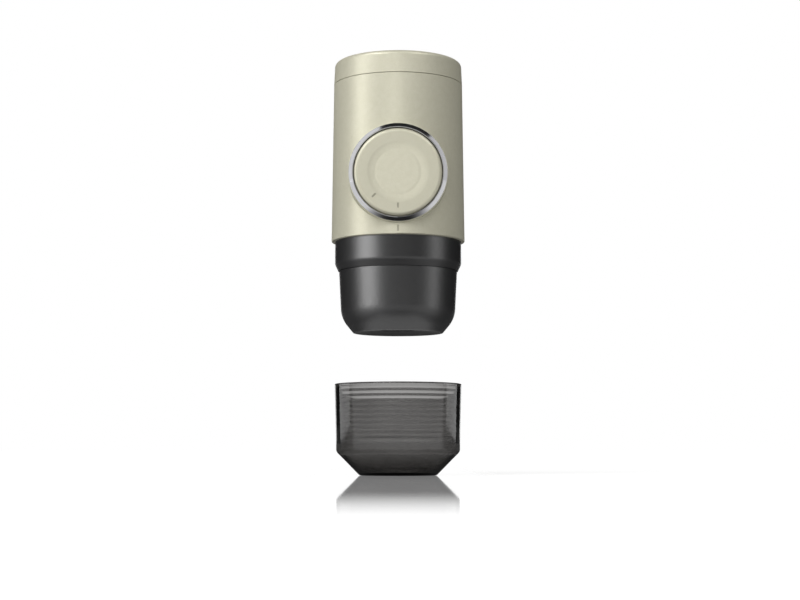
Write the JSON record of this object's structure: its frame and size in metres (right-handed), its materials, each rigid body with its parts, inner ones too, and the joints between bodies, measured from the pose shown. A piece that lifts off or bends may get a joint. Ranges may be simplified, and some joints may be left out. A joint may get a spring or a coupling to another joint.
{
  "type": "handheld manual espresso maker",
  "caption": "Hand-pumped capsule espresso maker: painted body with locking pump knob, water tank and lid, twist-off outlet and a clear cup that stows over it.",
  "frame": {"origin": "where the pump's axis crosses the maker's long axis, in the middle of the hand's grip", "axes": "+Z along the maker's axis towards the tank's lid, -Y towards the pump's knob, +X to the right seen from the knob's side"},
  "size_m": [0.0658, 0.0687, 0.2043],
  "materials": {
    "shell_paint": "satin pearl paint",
    "bezel_metal": "polished",
    "black_plastic": "satin",
    "inner_plastic": "moulded",
    "steel": "fine brushed",
    "rubber": "smooth silicone",
    "tank_clear": "clear",
    "cup_smoke": "smoked clear"
  },
  "bodies": {
    "body": {"body_shell": "shell_paint", "bezel_ring": "bezel_metal", "piston_housing": "inner_plastic", "return_spring": "steel", "pump_barrel": "inner_plastic", "inlet_valve": "rubber", "outlet_valve": "rubber", "pump_screws": "steel", "water_tank": "tank_clear", "tank_port_seal": "rubber", "base_collar": "black_plastic", "base_screws": "steel", "brew_head": "inner_plastic", "brew_port_seal": "rubber", "capsule_seal": "rubber", "piercing_pins": "steel"},
    "plunger": {"plunger": "steel", "plunger_seals": "rubber"},
    "knob": {"piston_knob": "shell_paint", "knob_retainer": "inner_plastic", "knob_screws": "steel"},
    "lid_gasket": {"lid_gasket": "rubber"},
    "lid": {"tank_lid": "shell_paint"},
    "capsule_tray": {"capsule_tray": "black_plastic", "exit_plate": "steel"},
    "outlet": {"outlet_bowl": "black_plastic", "spout_nozzle": "black_plastic"},
    "cup": {"cup": "cup_smoke"}
  },
  "joints": [
    {"name": "knob_stroke", "type": "slide", "parent": "body", "child": "plunger", "axis": [0, -1, 0], "range_m": [0, 0.017], "stiffness_N_per_m": 400, "springref_m": 0.037, "deforming": ["return_spring"]},
    {"name": "knob_lock", "type": "hinge", "parent": "plunger", "child": "knob", "pos_m": [0, 0, 0], "axis": [0, -1, 0], "range_deg": [0, 45]},
    {"name": "lid_lift", "type": "slide", "parent": "body", "child": "lid_gasket", "axis": [0, 0, 1], "range_m": [0, 0.03]},
    {"name": "lid_turn", "type": "hinge", "parent": "lid_gasket", "child": "lid", "pos_m": [0, 0, 0], "axis": [0, 0, 1], "range_deg": [0, 45]},
    {"name": "outlet_drop", "type": "slide", "parent": "body", "child": "capsule_tray", "axis": [0, 0, 1], "range_m": [-0.024, 0]},
    {"name": "outlet_turn", "type": "hinge", "parent": "capsule_tray", "child": "outlet", "pos_m": [0, 0, 0], "axis": [0, 0, 1], "range_deg": [0, 45]},
    {"name": "cup_slide", "type": "slide", "parent": "body", "child": "cup", "axis": [0, 0, 1], "range_m": [0, 0.0553]}
  ]
}
